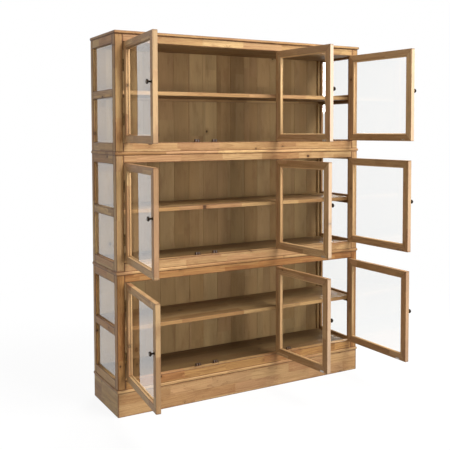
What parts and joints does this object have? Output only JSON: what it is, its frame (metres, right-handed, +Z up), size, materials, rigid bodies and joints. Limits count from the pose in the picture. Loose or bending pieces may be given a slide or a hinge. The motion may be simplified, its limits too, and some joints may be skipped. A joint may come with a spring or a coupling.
{
  "type": "display cabinet",
  "caption": "Tall free-standing pine display cabinet in stacked tiers, with glazed sides, framed glass doors on lift-off hinges, inner shelves, magnetic catches and small dark knobs.",
  "frame": {"origin": "centre of the plinth's underside, on the floor", "axes": "+X to the cabinet's right as seen from the front, +Y to the back, +Z up"},
  "size_m": [1.6538, 0.9068, 2.05],
  "materials": {
    "carcass_pine": "waxed reclaimed pine, satin",
    "door_pine": "waxed reclaimed pine, satin",
    "pane_glass": "clear float glass",
    "knob_metal": "dark bronzed, satin",
    "hinge_metal": "aged brass",
    "catch_metal": "dark bronze paint, satin"
  },
  "bodies": {
    "carcass": {"plinth": "carcass_pine", "tier_boards": "carcass_pine", "top_board": "carcass_pine", "fixed_hinge_leaves": "hinge_metal", "catches": "catch_metal", "lower_side_frames": "carcass_pine", "lower_side_panes": "pane_glass", "lower_front_frame": "carcass_pine", "lower_floor_and_ceiling": "carcass_pine", "lower_back_boards": "carcass_pine", "lower_shelf": "carcass_pine", "middle_side_frames": "carcass_pine", "middle_side_panes": "pane_glass", "middle_front_frame": "carcass_pine", "middle_floor_and_ceiling": "carcass_pine", "middle_back_boards": "carcass_pine", "middle_shelf": "carcass_pine", "upper_side_frames": "carcass_pine", "upper_side_panes": "pane_glass", "upper_front_frame": "carcass_pine", "upper_floor_and_ceiling": "carcass_pine", "upper_back_boards": "carcass_pine", "upper_shelf": "carcass_pine"},
    "lower_left_door": {"lower_left_door_frame": "door_pine", "lower_left_door_pane": "pane_glass", "lower_left_door_knob": "knob_metal", "lower_left_door_hardware": "hinge_metal"},
    "lower_middle_door": {"lower_middle_door_frame": "door_pine", "lower_middle_door_pane": "pane_glass", "lower_middle_door_knob": "knob_metal", "lower_middle_door_hardware": "hinge_metal"},
    "lower_right_door": {"lower_right_door_frame": "door_pine", "lower_right_door_pane": "pane_glass", "lower_right_door_knob": "knob_metal", "lower_right_door_hardware": "hinge_metal"},
    "middle_left_door": {"middle_left_door_frame": "door_pine", "middle_left_door_pane": "pane_glass", "middle_left_door_knob": "knob_metal", "middle_left_door_hardware": "hinge_metal"},
    "middle_middle_door": {"middle_middle_door_frame": "door_pine", "middle_middle_door_pane": "pane_glass", "middle_middle_door_knob": "knob_metal", "middle_middle_door_hardware": "hinge_metal"},
    "middle_right_door": {"middle_right_door_frame": "door_pine", "middle_right_door_pane": "pane_glass", "middle_right_door_knob": "knob_metal", "middle_right_door_hardware": "hinge_metal"},
    "upper_left_door": {"upper_left_door_frame": "door_pine", "upper_left_door_pane": "pane_glass", "upper_left_door_knob": "knob_metal", "upper_left_door_hardware": "hinge_metal"},
    "upper_middle_door": {"upper_middle_door_frame": "door_pine", "upper_middle_door_pane": "pane_glass", "upper_middle_door_knob": "knob_metal", "upper_middle_door_hardware": "hinge_metal"},
    "upper_right_door": {"upper_right_door_frame": "door_pine", "upper_right_door_pane": "pane_glass", "upper_right_door_knob": "knob_metal", "upper_right_door_hardware": "hinge_metal"}
  },
  "joints": [
    {"name": "lower_left_door_hinge", "type": "hinge", "parent": "carcass", "child": "lower_left_door", "pos_m": [-0.756, -0.199, 0.458], "axis": [0, 0, 1], "range_deg": [-79.5, 95.5]},
    {"name": "lower_middle_door_hinge", "type": "hinge", "parent": "carcass", "child": "lower_middle_door", "pos_m": [0.216, -0.199, 0.458], "axis": [0, 0, 1], "range_deg": [-95.5, 44.5]},
    {"name": "lower_right_door_hinge", "type": "hinge", "parent": "carcass", "child": "lower_right_door", "pos_m": [0.756, -0.199, 0.458], "axis": [0, 0, 1], "range_deg": [-92, 83]},
    {"name": "middle_left_door_hinge", "type": "hinge", "parent": "carcass", "child": "middle_left_door", "pos_m": [-0.756, -0.199, 1.093], "axis": [0, 0, 1], "range_deg": [-79, 96]},
    {"name": "middle_middle_door_hinge", "type": "hinge", "parent": "carcass", "child": "middle_middle_door", "pos_m": [0.216, -0.199, 1.093], "axis": [0, 0, 1], "range_deg": [-96, 44]},
    {"name": "middle_right_door_hinge", "type": "hinge", "parent": "carcass", "child": "middle_right_door", "pos_m": [0.756, -0.199, 1.093], "axis": [0, 0, 1], "range_deg": [-93, 82]},
    {"name": "upper_left_door_hinge", "type": "hinge", "parent": "carcass", "child": "upper_left_door", "pos_m": [-0.756, -0.199, 1.728], "axis": [0, 0, 1], "range_deg": [-79, 96]},
    {"name": "upper_middle_door_hinge", "type": "hinge", "parent": "carcass", "child": "upper_middle_door", "pos_m": [0.216, -0.199, 1.728], "axis": [0, 0, 1], "range_deg": [-97, 43]},
    {"name": "upper_right_door_hinge", "type": "hinge", "parent": "carcass", "child": "upper_right_door", "pos_m": [0.756, -0.199, 1.728], "axis": [0, 0, 1], "range_deg": [-95, 80]}
  ]
}
